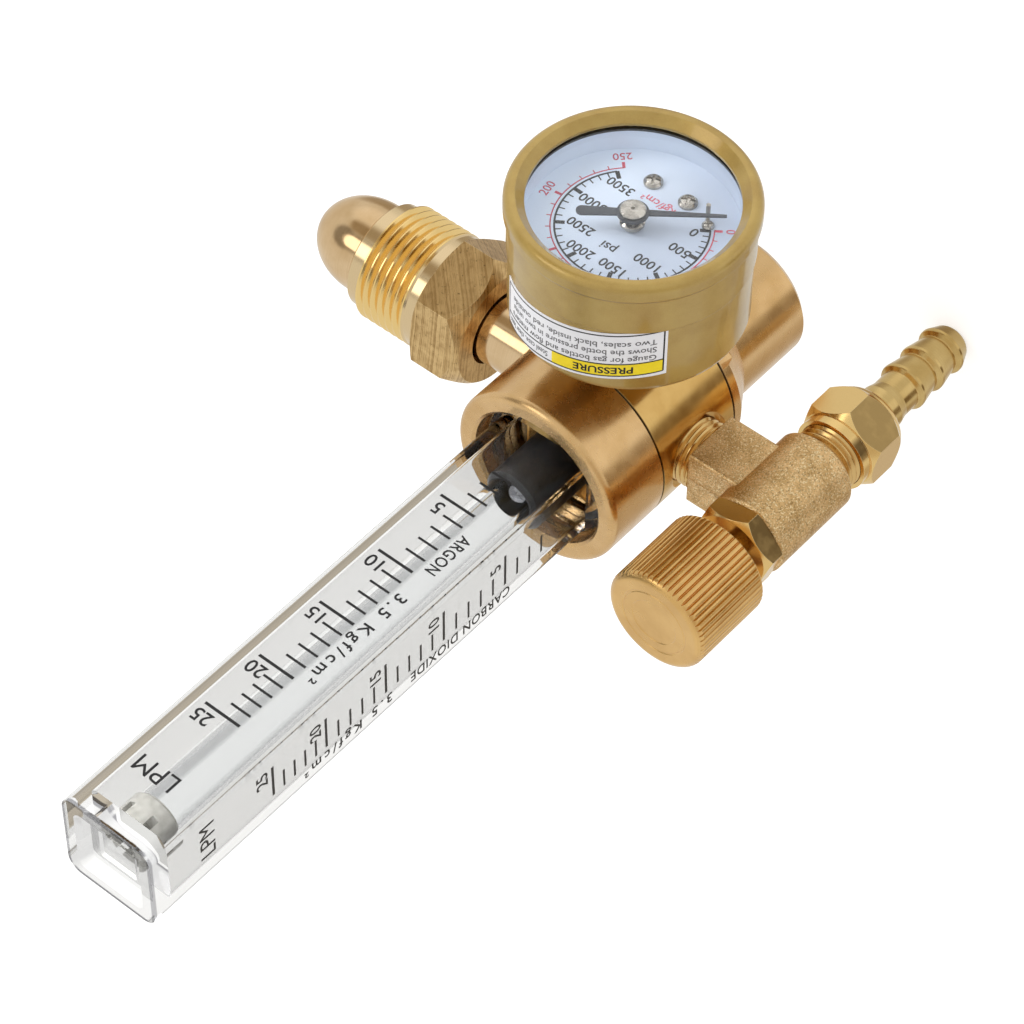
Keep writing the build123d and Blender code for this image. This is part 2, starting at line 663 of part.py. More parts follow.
def make_zero_stop():
    """Small screw and pin beside the pointer's zero."""
    screw = Pos(-10.2, -8.75, 0) * Rotation(0, 0, 40) * pan_screw(1.15, 0.65, 0.8, 43.6, DIAL_TOP)
    pin = Pos(STOP_PIN[0], STOP_PIN[1], 0) * rod(0.42, 43.6, POINTER_LOW + 0.6)
    return Compound(children=[GAUGE * screw, GAUGE * pin])


def make_pointer():
    """Balanced pointer with a round tail, drawn pointing to the top and then turned to zero."""
    low = POINTER_LOW
    tip_y = 16.6
    tail_y = -9.0
    tail_r = 1.1
    blade = make_face(Polyline((-0.75, 0), (-0.27, tip_y), (0.27, tip_y), (0.75, 0), close=True))
    tail = make_face(Polyline((-0.7, 0), (-tail_r, tail_y), (tail_r, tail_y), (0.7, 0), close=True))
    pointer = Pos(0, 0, low) * extrude(blade, POINTER_T)
    pointer += Pos(0, 0, low) * extrude(tail, POINTER_T)
    pointer += Pos(0, tail_y, 0) * rod(tail_r, low, low + POINTER_T)
    pointer += rod(2.9, low, low + 0.5)
    pointer -= rod(1.2, low - 1, low + 1)
    return GAUGE * Rotation(0, 0, -POINTER_TURN) * pointer


def make_pointer_hub():
    """Bush that presses the pointer on the arbor."""
    disc = POINTER_LOW + 0.55
    hub = turned(
        (0, DIAL_TOP + 0.3), (1.9, DIAL_TOP + 0.3), (2.3, 46.3), (2.3, 46.9), (1.6, 47.35),
        (1.15, POINTER_LOW), (1.15, disc), (2.45, disc), (2.45, disc + 0.4), (2.2, disc + 0.65),
        (0.4, disc + 0.7), (0.4, disc + 0.3), (0, disc + 0.3),
    )
    return GAUGE * (hub - rod(0.5, DIAL_TOP, ARBOR_TOP + 0.02))


def make_gauge_label():
    """Blank sticker round part of the case wall, slightly askew."""
    shell = tube(CASE_R + 0.13, CASE_R + 0.01, CASE_BACK, BEZEL_BACK)
    middle, half_span = -9.5, 46.5
    reach = 1.5 * CASE_R
    spokes = [math.radians(turn) for turn in (middle - half_span, middle, middle + half_span)]
    corners = [(reach * math.sin(spoke), reach * math.cos(spoke)) for spoke in spokes]
    wedge = Pos(0, 0, CASE_BACK) * extrude(make_face(Polyline((0, 0), *corners, close=True)), 20)
    slab = Rotation(0, 0, -middle) * Pos(0, 15, 34.8) * Rotation(0, 7.5, 0) * Box(60, 40, 11.6)
    trim = tube(CASE_R + 1, CASE_R - 1, CASE_BACK + 1.3, BEZEL_BACK - 0.2)
    return GAUGE * (shell & wedge & slab & trim)


# ---- outlet valve ----
def make_valve_body():
    """Cast valve body: square arm with a threaded stub, round barrel and threaded outlet."""
    barrel = turned(
        (0, CAST_LOW), (CAST_R - 0.7, CAST_LOW), (CAST_R, CAST_LOW + 0.7), (CAST_R, CAST_TOP - 0.5),
        (CAST_R - 0.5, CAST_TOP), (0, CAST_TOP),
    )
    outlet = turned(
        (0, OUTLET_END), (6.1, OUTLET_END),
        *thread_outline(STUB_R, 0.6, OUTLET_END + 0.4, CAST_LOW - 0.6, 1.25),
        (6.1, CAST_LOW + 0.5), (0, CAST_LOW + 0.5),
    )
    arm_run = ARM_END - VALVE_X
    from_axis = (Align.MIN, Align.CENTER, Align.CENTER)
    arm = Box(arm_run, ARM_WIDTH, ARM_WIDTH, align=from_axis)
    arm = fillet(arm.edges().filter_by(Axis.X), 0.7)
    parting = Box(arm_run, 0.5, ARM_WIDTH + 0.3, align=from_axis)
    stub = TO_INLET * turned(
        (0, arm_run - 1), (STUB_R - 0.5, arm_run - 1), (STUB_R - 0.5, arm_run),
        *thread_outline(STUB_R, 0.5, arm_run + 0.3, STUB_END - VALVE_X - 0.4, 1.1),
        (STUB_R - 0.5, STUB_END - VALVE_X), (0, STUB_END - VALVE_X),
    )
    valve = barrel + outlet + arm + parting + stub
    valve -= rod(VALVE_STEM_R + 1.7, 3.0, CAST_TOP + 1)
    valve -= rod(2.0, OUTLET_END - 1, 1)
    valve -= rod(3.4, 0.5, 4)
    valve -= TO_INLET * rod(1.5, 2.5, STUB_END - VALVE_X + 1) - rod(4, 4, 30)
    return VALVE * valve


def make_packing_nut():
    """Hexagon nut that squeezes the stem packing."""
    nut = hexagon(PACKING_AF, CAST_TOP + 0.05, PACKING_TOP, 270 - 17.2)
    nut &= corner_cone(PACKING_AF, CAST_TOP + 0.05, PACKING_TOP, (0.6, 0.3), (1.4, 1.2))
    nut += rod(VALVE_STEM_R + 1.6, 7.0, CAST_TOP + 0.2)
    return VALVE * (nut - rod(VALVE_STEM_R + RUN, 6, PACKING_TOP + 1))


def make_stem_packing():
    """Packing ring round the valve stem."""
    return VALVE * tube(VALVE_STEM_R + 1.6, VALVE_STEM_R + RUN, 4.6, 6.95)


def make_valve_stem():
    """Needle on a round stem."""
    stem = turned(
        (0, -1.4), (0.5, -1.4), (1.9, 1.02), (VALVE_STEM_R, 1.9), (VALVE_STEM_R, 31.0),
        (VALVE_STEM_R - 0.4, 31.4), (0, 31.4),
    )
    return VALVE * stem


def make_knob():
    """Flow knob with straight ribs, a rounded end and shallow rings on the end face."""
    pitch = 360 / KNOB_RIBS
    rib_shape = ((0.0, KNOB_R - 0.55), (0.22, KNOB_R - 0.05), (0.5, KNOB_R), (0.78, KNOB_R - 0.05))
    outline = []
    for rib in range(KNOB_RIBS):
        for share, radius in rib_shape:
            angle = math.radians(pitch * (rib + share))
            outline.append((radius * math.cos(angle), radius * math.sin(angle)))
    ribs = Pos(0, 0, KNOB_LOW) * extrude(make_face(Polyline(*outline, close=True)), KNOB_TOP - KNOB_LOW)
    blank_r = KNOB_R + 0.01
    side = Polyline(
        (0, KNOB_LOW), (blank_r - 0.3, KNOB_LOW), (blank_r, KNOB_LOW + 0.3),
        (blank_r, KNOB_TOP - KNOB_ROUND),
    )
    dome = RadiusArc((blank_r, KNOB_TOP - KNOB_ROUND), (blank_r - KNOB_ROUND, KNOB_TOP), -KNOB_ROUND)
    floor = KNOB_TOP - 0.12
    face = Polyline(
        (blank_r - KNOB_ROUND, KNOB_TOP), (7.3, KNOB_TOP), (7.15, floor), (6.9, floor), (6.75, KNOB_TOP),
        (5.0, KNOB_TOP), (4.85, floor), (0, floor), (0, KNOB_LOW),
    )
    envelope = revolve(make_face(Plane.XZ * Curve([side, dome, face])), Axis.Z)
    knob = ribs & envelope
    knob -= rod(VALVE_STEM_R + GAP, KNOB_LOW - 1, 31.6)
    knob -= rod(6.4, KNOB_LOW - 1, KNOB_LOW + 1.2)
    return VALVE * (knob - Pos(0, 0, 25) * TO_BACK * rod(1.5, 1, KNOB_R + 1))


def make_knob_screw():
    """Grub screw that grips the stem."""
    screw = turned((0, 2.56), (1.1, 2.56), (1.45, 2.9), (1.45, 8.0), (0, 8.0)) - hexagon(1.3, 5.5, 9)
    return VALVE * Pos(0, 0, 25) * TO_BACK * screw


def make_union_nut():
    """Hexagon nut that clamps the hose barb on the valve outlet."""
    hex_top = -17.2
    hex_low = -25.9
    nut = hexagon(UNION_AF, hex_low, hex_top, 270 - 5.3)
    nut &= corner_cone(UNION_AF, hex_low, hex_top, (1.4, 1.6), (1.4, 1.6))
    nut += rod(7.7, hex_top - 0.5, UNION_TOP)
    shoulder = Polyline((0, hex_low + 1), (7.9, hex_low + 1), (7.9, hex_low))
    dome = RadiusArc((7.9, hex_low), (5.6, UNION_LOW), 3.2)
    end = Polyline((5.6, UNION_LOW), (0, UNION_LOW), (0, hex_low + 1))
    nut += revolve(make_face(Plane.XZ * Curve([shoulder, dome, end])), Axis.Z)
    nut -= rod(6.85, -26.2, UNION_TOP + 1)
    return VALVE * (nut - rod(4.75, UNION_LOW - 1, -26))


def make_hose_barb():
    """Hose tail with three barbs, held by the union nut."""
    outline = [(1.9, -22.4), (6.7, -22.4), (6.7, -26.1), (4.65, -26.1)]
    outline += [(4.65, -31.0), (BARB_ROOT_R, -33.0)]
    for edge in BARB_EDGES:
        outline.append((BARB_ROOT_R, edge + 0.75))
        outline.append((BARB_R - 0.1, edge + 0.25))
        outline.append((BARB_R, edge))
        outline.append((BARB_R, edge - 0.5))
        outline.append((BARB_ROOT_R, edge - 4.9))
    outline[-1] = (3.9, BARB_TIP + 0.5)
    outline += [(3.5, BARB_TIP), (2.2, BARB_TIP), (1.9, BARB_TIP + 0.3)]
    return VALVE * turned(*outline)


def make_barb_washer():
    """Sealing washer between valve outlet and barb."""
    return VALVE * tube(6.0, 2.2, -22.38, -22.02)


PARTS = {
    "body": make_body(),
    "collar": make_collar(),
    "outer_tube": make_outer_tube(),
    "inner_tube": make_inner_tube(),
    "tube_seat": make_tube_seat(),
    "seat_oring": make_seal(4.7, 0.9, 9.92),
    "foot_oring": make_seal(12.4, 0.7, SPIGOT_TOP - 0.45),
    "float_ball": Pos(0, 0, ball_rest_height()) * Sphere(BALL_R),
    "float_stop": make_float_stop(),
    "bonnet": make_bonnet(),
    "diaphragm": make_diaphragm(),
    "diaphragm_ring": make_diaphragm_ring(),
    "diaphragm_plate": make_diaphragm_plate(),
    "range_spring": make_range_spring(),
    "spring_button": make_spring_button(),
    "adjusting_screw": make_adjusting_screw(),
    "seat_nozzle": make_seat_nozzle(),
    "poppet": make_poppet(),
    "poppet_spring": make_poppet_spring(),
    "inlet_nipple": make_inlet_nipple(),
    "inlet_filter": make_inlet_filter(),
    "inlet_nut": make_inlet_nut(),
    "gauge_socket": make_gauge_socket(),
    "bourdon_tube": make_bourdon_tube(),
    "bourdon_tip": make_bourdon_tip(),
    "movement_plates": make_movement_plates(),
    "movement_posts": make_movement_posts(),
    "pinion": make_pinion(),
    "sector_gear": make_sector_gear(),
    "link": make_link(),
    "hairspring": make_hairspring(),
    "gauge_case": make_gauge_case(),
    "gauge_bezel": make_gauge_bezel(),
    "gauge_lens": make_gauge_lens(),
    "lens_ring": make_lens_ring(),
    "lens_gasket": make_lens_gasket(),
    "gauge_dial": make_gauge_dial(),
    "dial_pillars": make_dial_pillars(),
    "dial_screws": make_dial_screws(),
    "zero_stop": make_zero_stop(),
    "pointer": make_pointer(),
    "pointer_hub": make_pointer_hub(),
    "gauge_label": make_gauge_label(),
    "valve_body": make_valve_body(),
    "packing_nut": make_packing_nut(),
    "stem_packing": make_stem_packing(),
    "valve_stem": make_valve_stem(),
    "knob": make_knob(),
    "knob_screw": make_knob_screw(),
    "union_nut": make_union_nut(),
    "hose_barb": make_hose_barb(),
    "barb_washer": make_barb_washer(),
}

os.makedirs("parts", exist_ok=True)
for part_name, part_shape in PARTS.items():
    export(part_name, part_shape)
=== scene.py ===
"""Looks for the argon flowmeter regulator.

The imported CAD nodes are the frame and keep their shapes.  This script gives each one a procedural finish,
adds the flow scales, the dial print and the sticker's plain words as thin raised pieces, and sets up a white
studio.  Lengths are in metres in the part's own frame; the named sizes and the print layouts are in
millimetres, and MM turns them into metres.
"""
import math

import bpy
from mathutils import Matrix, Vector


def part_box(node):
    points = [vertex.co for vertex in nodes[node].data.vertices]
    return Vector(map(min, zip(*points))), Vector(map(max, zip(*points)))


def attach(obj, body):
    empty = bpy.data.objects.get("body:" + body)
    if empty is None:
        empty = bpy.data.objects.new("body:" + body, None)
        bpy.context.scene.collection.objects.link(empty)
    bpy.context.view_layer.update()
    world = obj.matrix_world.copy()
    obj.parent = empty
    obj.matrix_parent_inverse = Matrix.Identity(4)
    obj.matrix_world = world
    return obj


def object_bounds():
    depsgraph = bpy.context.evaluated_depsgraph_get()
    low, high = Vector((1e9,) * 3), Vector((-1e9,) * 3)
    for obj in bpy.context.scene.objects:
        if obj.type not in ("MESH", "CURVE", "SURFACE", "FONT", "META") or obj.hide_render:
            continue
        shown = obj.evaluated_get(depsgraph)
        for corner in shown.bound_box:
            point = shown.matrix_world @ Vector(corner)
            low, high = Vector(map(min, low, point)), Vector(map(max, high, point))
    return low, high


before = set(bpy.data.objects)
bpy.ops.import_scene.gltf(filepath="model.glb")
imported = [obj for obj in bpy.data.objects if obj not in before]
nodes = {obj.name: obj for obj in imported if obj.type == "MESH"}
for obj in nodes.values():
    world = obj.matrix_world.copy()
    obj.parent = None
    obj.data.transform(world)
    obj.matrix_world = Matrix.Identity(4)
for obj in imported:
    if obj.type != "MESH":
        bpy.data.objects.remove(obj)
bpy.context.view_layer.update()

MM = 0.001


def centre_of(node):
    """Middle of a CAD node's box."""
    low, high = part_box(node)
    return (low + high) / 2


BARREL = centre_of("collar")
VALVE = centre_of("knob")
GAUGE = centre_of("gauge_bezel")
DIAL_FACE_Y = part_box("gauge_dial")[0].y
CASE_R = (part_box("gauge_case")[1].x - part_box("gauge_case")[0].x) / 2
STUB_START = 16.5             # the valve body's inlet thread starts this far from the valve axis
OUTLET_START = -11.0          # the valve body's outlet thread starts below this height
SEAMS = (10.4, -10.35)        # joints between collar, body and bonnet
INLET_SHANK = -8.7            # the inlet nut's hexagon ends and its turned shank starts here
TUBE_HALF = 10.2              # half the width of the square flow tube
TUBE_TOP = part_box("outer_tube")[1].z
INLET_THREAD_HALF = 5.7       # the inlet thread runs this far to each side of the origin


# ---- colours ----
def srgb(red, green, blue):
    """Linear colour of a 0 to 255 screen colour."""
    channels = []
    for value in (red, green, blue):
        share = value / 255
        channels.append(share / 12.92 if share <= 0.04045 else ((share + 0.055) / 1.055) ** 2.4)
    return (*channels, 1.0)


# ---- shader building ----
MIX_COLOUR_INPUTS = (0, 6, 7)         # the mix node's factor and its two colours
MIX_COLOUR_OUTPUT = 2


class NodeBuilder:
    """A node tree being filled, from empty."""

    def __init__(self, tree):
        self.tree = tree
        self.tree.nodes.clear()

    def fill(self, socket, value):
        """Link a socket in, or set a plain value."""
        if isinstance(value, bpy.types.NodeSocket):
            self.tree.links.new(value, socket)
        else:
            socket.default_value = value

    def add(self, kind, inputs=None, **settings):
        """Add a node; sockets among the inputs are linked and plain values are set."""
        made = self.tree.nodes.new(kind)
        for name, value in settings.items():
            setattr(made, name, value)
        for name, value in (inputs or {}).items():
            self.fill(made.inputs[name], value)
        return made

    def math(self, operation, first, second):
        """Arithmetic on two values."""
        return self.add("ShaderNodeMath", {0: first, 1: second}, operation=operation).outputs[0]

    def mix(self, share, first, second):
        """Blend two colours."""
        made = self.add("ShaderNodeMix", data_type="RGBA")
        for index, value in zip(MIX_COLOUR_INPUTS, (share, first, second)):
            self.fill(made.inputs[index], value)
        return made.outputs[MIX_COLOUR_OUTPUT]


class Shader(NodeBuilder):
    """One material being built; every method adds nodes and returns the socket to use next."""

    def __init__(self, name):
        self.material = bpy.data.materials.new(name)
        self.material.use_nodes = True
        super().__init__(self.material.node_tree)
        self.output = self.add("ShaderNodeOutputMaterial")

    def place(self, offset=(0, 0, 0)):
        """The point being shaded, in the part's frame and riding with its body."""
        point = self.add("ShaderNodeTexCoord").outputs["Object"]
        return self.add("ShaderNodeVectorMath", {0: point, 1: offset}, operation="SUBTRACT").outputs[0]

    def noise(self, size_mm, detail=2.0, stretch=(1, 1, 1), shift=0.0):
        """Cloudy pattern whose blotches are about size_mm wide."""
        start = self.place((shift, 0, 0))
        point = self.add("ShaderNodeVectorMath", {0: start, 1: stretch}, operation="MULTIPLY").outputs[0]
        scale = 1 / (size_mm * MM)
        made = self.add("ShaderNodeTexNoise", {"Vector": point, "Scale": scale, "Detail": detail})
        return made.outputs["Fac"]

    def cells(self, size_mm):
        """Random value for each small grain."""
        scale = 1 / (size_mm * MM)
        made = self.add("ShaderNodeTexVoronoi", {"Vector": self.place(), "Scale": scale})
        return self.add("ShaderNodeSeparateColor", {"Color": made.outputs["Color"]}).outputs["Red"]

    def lathe_lines(self, axis, size_mm):
        """Random rings square to a turned piece's axis."""
        split = self.add("ShaderNodeSeparateXYZ", {"Vector": self.place()})
        scale = 1 / (size_mm * MM)
        inputs = {"W": split.outputs[axis], "Scale": scale, "Detail": 2.0}
        made = self.add("ShaderNodeTexNoise", inputs, noise_dimensions="1D")
        return made.outputs["Fac"]

    def milled_lines(self, way, size_mm):
        """Fine parallel cutter marks square to a direction, broken up along their length."""
        along = self.add("ShaderNodeVectorMath", {0: self.place(), 1: way}, operation="DOT_PRODUCT")
        bent = self.math("ADD", along.outputs["Value"], self.math("MULTIPLY", self.noise(5, 2), 0.4 * MM))
        scale = 1 / (size_mm * MM)
        inputs = {"W": bent, "Scale": scale, "Detail": 3.0}
        made = self.add("ShaderNodeTexNoise", inputs, noise_dimensions="1D")
        return self.math("ADD", made.outputs["Fac"], self.ramp(self.noise(1.5, 3), 0.3, 0.7, -0.08, 0.08))

    def ramp(self, value, low, high, out_low=0.0, out_high=1.0):
        """Map a range of values to another, clamped."""
        made = self.add("ShaderNodeMapRange", {
            "Value": value, "From Min": low, "From Max": high, "To Min": out_low, "To Max": out_high,
        })
        return made.outputs["Result"]

    def round_normal(self, radius_mm):
        """Normal that rounds the edges over."""
        return self.add("ShaderNodeBevel", {"Radius": radius_mm * MM}, samples=4).outputs["Normal"]

    def edge(self, normal, low=0.01, high=0.12):
        """1 on edges and 0 on flats, from a rounded normal."""
        plain = self.add("ShaderNodeNewGeometry").outputs["Normal"]
        same = self.add("ShaderNodeVectorMath", {0: normal, 1: plain}, operation="DOT_PRODUCT")
        return self.ramp(self.math("SUBTRACT", 1.0, same.outputs["Value"]), low, high)

    def bump(self, height, depth_mm, normal=None):
        """Normal pushed in and out by a height pattern."""
        inputs = {"Height": height, "Distance": depth_mm * MM, "Strength": 1.0}
        if normal is not None:
            inputs["Normal"] = normal
        return self.add("ShaderNodeBump", inputs).outputs["Normal"]

    def around(self, axis, centre):
        """Direction round a turned piece's axis, for brushed highlights."""
        pole = [0.0, 0.0, 0.0]
        pole["XYZ".index(axis)] = 1.0
        ring = self.add("ShaderNodeVectorMath", {0: pole, 1: self.place(centre)}, operation="CROSS_PRODUCT")
        unit = self.add("ShaderNodeVectorMath", {0: ring.outputs[0]}, operation="NORMALIZE")
        turned = self.add(
            "ShaderNodeVectorTransform", {"Vector": unit.outputs[0]},
            vector_type="VECTOR", convert_from="OBJECT", convert_to="WORLD",
        )
        return turned.outputs[0]

    def surface(self, **inputs):
        """Principled surface from named inputs."""
        names = {name.replace("_", " "): value for name, value in inputs.items()}
        return self.add("ShaderNodeBsdfPrincipled", names).outputs["BSDF"]

    def finish(self, shader):
        """Use this shader as the material's surface."""
        self.tree.links.new(shader, self.output.inputs["Surface"])
        return self.material


# ---- metal finishes ----
MILLING_WAY = (0.66, -0.1, 0.75)      # cutter marks on the inlet nut's flats run square to this


def turned_metal(name, colour, shade, axis, centre, roughness=0.22, spread=0.08, brushed=0.5, lines_mm=0.25,
                 line_depth=0.0015, coat=0.0, wear=0.35, seams=()):
    """Lathe-turned metal: ring marks, brushed highlight, soft stains, bright edges and painted shade along
    its seams.
    """
    made = Shader(name)
    rounded = made.round_normal(0.12)
    worn = made.edge(rounded)
    stain = made.ramp(made.noise(7, 4), 0.35, 0.7)
    rings = made.lathe_lines(axis, lines_mm)
    body = made.mix(stain, colour, shade)
    lined = made.mix(made.ramp(rings, 0.35, 0.65, 0.0, 0.22), body, shade)
    bright = made.mix(made.math("MULTIPLY", worn, wear), lined, srgb(255, 226, 170))
    # painted shade: a dark line along each seam, where the joint's shadow falls
    for height in seams:
        along = made.add("ShaderNodeSeparateXYZ", {"Vector": made.place()}).outputs[axis]
        away = made.math("ABSOLUTE", made.math("SUBTRACT", along, height * MM), 0.0)
        bright = made.mix(made.ramp(away, 0.16 * MM, 0.3 * MM, 0.95, 0.0), bright, srgb(52, 34, 14))
    rough = made.ramp(made.noise(2.5, 5), 0.3, 0.7, roughness - spread / 2, roughness + spread / 2)
    normal = made.bump(rings, line_depth, rounded)
    normal = made.bump(made.noise(0.35, 3), 0.0012, normal)
    return made.finish(made.surface(
        Base_Color=bright, Metallic=1.0, Roughness=rough, Normal=normal, Anisotropic=brushed,
        Anisotropic_Rotation=0.25, Tangent=made.around(axis, centre), Coat_Weight=coat, Coat_Roughness=0.12,
    ))


def machined_nut(name, colour, shade, turned, thread):
    """Hexagon brass: milled, stained and pitted flats, a pale turned shank and a yellower thread, with
    painted highlights on the shank's edges and thread crests.
    """
    made = Shader(name)
    rounded = made.round_normal(0.14)
    worn = made.edge(rounded)
    stain = made.ramp(made.noise(6, 3), 0.4, 0.72, 0.0, 0.3)
    scratch = made.milled_lines(MILLING_WAY, 0.5)
    fine = made.milled_lines(MILLING_WAY, 0.16)
    body = made.mix(stain, colour, shade)
    scored = made.mix(made.ramp(scratch, 0.48, 0.6, 0.0, 0.55), body, shade)
    scored = made.mix(made.ramp(fine, 0.52, 0.62, 0.0, 0.5), scored, srgb(138, 104, 58))
    pit = made.ramp(made.noise(0.45, 2, shift=0.7), 0.66, 0.72, 0.0, 0.75)
    pitted = made.mix(pit, scored, srgb(96, 70, 36))
    bright = made.mix(made.math("MULTIPLY", worn, 0.6), pitted, srgb(250, 228, 178))
    rough = made.ramp(fine, 0.3, 0.7, 0.24, 0.42)
    normal = made.bump(scratch, 0.004, rounded)
    normal = made.bump(fine, 0.0015, normal)
    flats = made.surface(Base_Color=bright, Metallic=1.0, Roughness=rough, Normal=normal)
    crest = made.round_normal(0.07)
    split = made.add("ShaderNodeSeparateXYZ", {"Vector": made.place()})
    along = made.math("ABSOLUTE", split.outputs["X"], 0.0)
    skin = made.mix(made.math("LESS_THAN", along, INLET_THREAD_HALF * MM), turned, thread)
    # painted highlight: the shank's edges and the thread crests are coloured bright
    painted_crests = made.mix(made.math("MULTIPLY", made.edge(crest, 0.02, 0.2), 0.7), skin, srgb(255, 238, 190))
    ring = made.bump(made.lathe_lines("X", 0.12), 0.001, crest)
    shank = made.surface(Base_Color=painted_crests, Metallic=1.0, Roughness=0.16, Normal=ring)
    on_shank = made.math("GREATER_THAN", split.outputs["X"], INLET_SHANK * MM)
    return made.finish(made.add("ShaderNodeMixShader", {0: on_shank, 1: flats, 2: shank}).outputs[0])


def polished_nut(name, colour, shaded_flat_colour, shaded_flat_way):
    """Bright hexagon nut with smooth flats; the flat facing one way has patchy painted shade and is rougher.
    """
    made = Shader(name)
    rounded = made.round_normal(0.14)
    worn = made.edge(rounded)
    # painted shade: the flat facing one way is darkened in patches and made rougher
    plain = made.add("ShaderNodeNewGeometry").outputs["Normal"]
    facing = made.add("ShaderNodeVectorMath", {0: plain, 1: shaded_flat_way}, operation="DOT_PRODUCT")
    patchy = made.ramp(made.noise(3, 4), 0.25, 0.5, 0.8, 1.0)
    painted_shade = made.math("MULTIPLY", made.ramp(facing.outputs["Value"], 0.95, 0.99), patchy)
    body = made.mix(painted_shade, colour, shaded_flat_colour)
    bright = made.mix(made.math("MULTIPLY", worn, 0.6), body, srgb(255, 236, 184))
    streak = made.noise(1.2, 4, (1, 1, 8))
    rough = made.math("ADD", made.ramp(streak, 0.3, 0.7, 0.14, 0.24), made.math("MULTIPLY", painted_shade, 0.25))
    normal = made.bump(streak, 0.002, rounded)
    return made.finish(made.surface(Base_Color=bright, Metallic=1.0, Roughness=rough, Normal=normal))


def blasted_metal(name, colour, shade, glint_and_wear, polished):
    """Sand-cast and blasted brass: grainy, matt, with painted glints on some grains; the threads are
    machined bright.
    """
    made = Shader(name)
    rounded = made.round_normal(0.3)
    worn = made.edge(rounded)
    grain = made.noise(0.32, 3)
    cell = made.cells(0.2)
    blotch = made.ramp(made.noise(3.5, 4), 0.35, 0.65)
    body = made.mix(blotch, colour, shade)
    pitted = made.mix(made.ramp(grain, 0.34, 0.5, 0.6, 0.0), body, srgb(120, 90, 50))
    # painted glints: some grains are coloured bright, and the worn edges take the same colour
    lit = made.mix(made.ramp(cell, 0.8, 0.9, 0.0, 0.75), pitted, glint_and_wear)
    bright = made.mix(made.math("MULTIPLY", worn, 0.35), lit, glint_and_wear)
    rough = made.ramp(cell, 0.0, 1.0, 0.52, 0.36)
    normal = made.bump(grain, 0.05, rounded)
    normal = made.bump(cell, 0.012, normal)
    cast = made.surface(Base_Color=bright, Metallic=1.0, Roughness=rough, Normal=normal)
    smooth = made.bump(made.noise(0.5, 3), 0.002, made.round_normal(0.08))
    turned = made.surface(Base_Color=polished, Metallic=1.0, Roughness=0.2, Normal=smooth)
    split = made.add("ShaderNodeSeparateXYZ", {"Vector": made.place(tuple(VALVE))})
    on_stub = made.math("GREATER_THAN", split.outputs["X"], STUB_START * MM)
    on_outlet = made.math("LESS_THAN", made.math("ADD", split.outputs["Z"], VALVE.z), OUTLET_START * MM)
    thread = made.math("MAXIMUM", on_stub, on_outlet)
    return made.finish(made.add("ShaderNodeMixShader", {0: thread, 1: cast, 2: turned}).outputs[0])


def plain_metal(name, colour, shade, roughness=0.3):
    """Small machined metal parts."""
    made = Shader(name)
    rounded = made.round_normal(0.08)
    worn = made.edge(rounded)
    body = made.mix(made.ramp(made.noise(2, 4), 0.35, 0.65), colour, shade)
    bright = made.mix(made.math("MULTIPLY", worn, 0.4), body, srgb(245, 240, 228))
    rough = made.ramp(made.noise(0.8, 4), 0.3, 0.7, roughness - 0.08, roughness + 0.1)
    normal = made.bump(made.noise(0.4, 3), 0.002, rounded)
    return made.finish(made.surface(Base_Color=bright, Metallic=1.0, Roughness=rough, Normal=normal))


def gloss_paint(name, colour, shade):
    """Gold paint under a glossy coat: fine metal flake, faint orange peel and paler edges."""
    made = Shader(name)
    rounded = made.round_normal(0.3)
    worn = made.edge(rounded, 0.01, 0.2)
    flake = made.cells(0.09)
    body = made.mix(made.ramp(made.noise(6, 3), 0.35, 0.65), colour, shade)
    flaked = made.mix(made.ramp(flake, 0.0, 1.0, 0.0, 0.3), body, srgb(204, 174, 96))
    bright = made.mix(made.math("MULTIPLY", worn, 0.3), flaked, srgb(222, 200, 140))
    peel = made.bump(made.noise(1.4, 2), 0.006, rounded)
    under = made.bump(flake, 0.004, rounded)
    return made.finish(made.surface(
        Base_Color=bright, Metallic=0.6, Roughness=0.34, Normal=under,
        Coat_Weight=0.7, Coat_Roughness=0.08, Coat_Normal=peel,
    ))


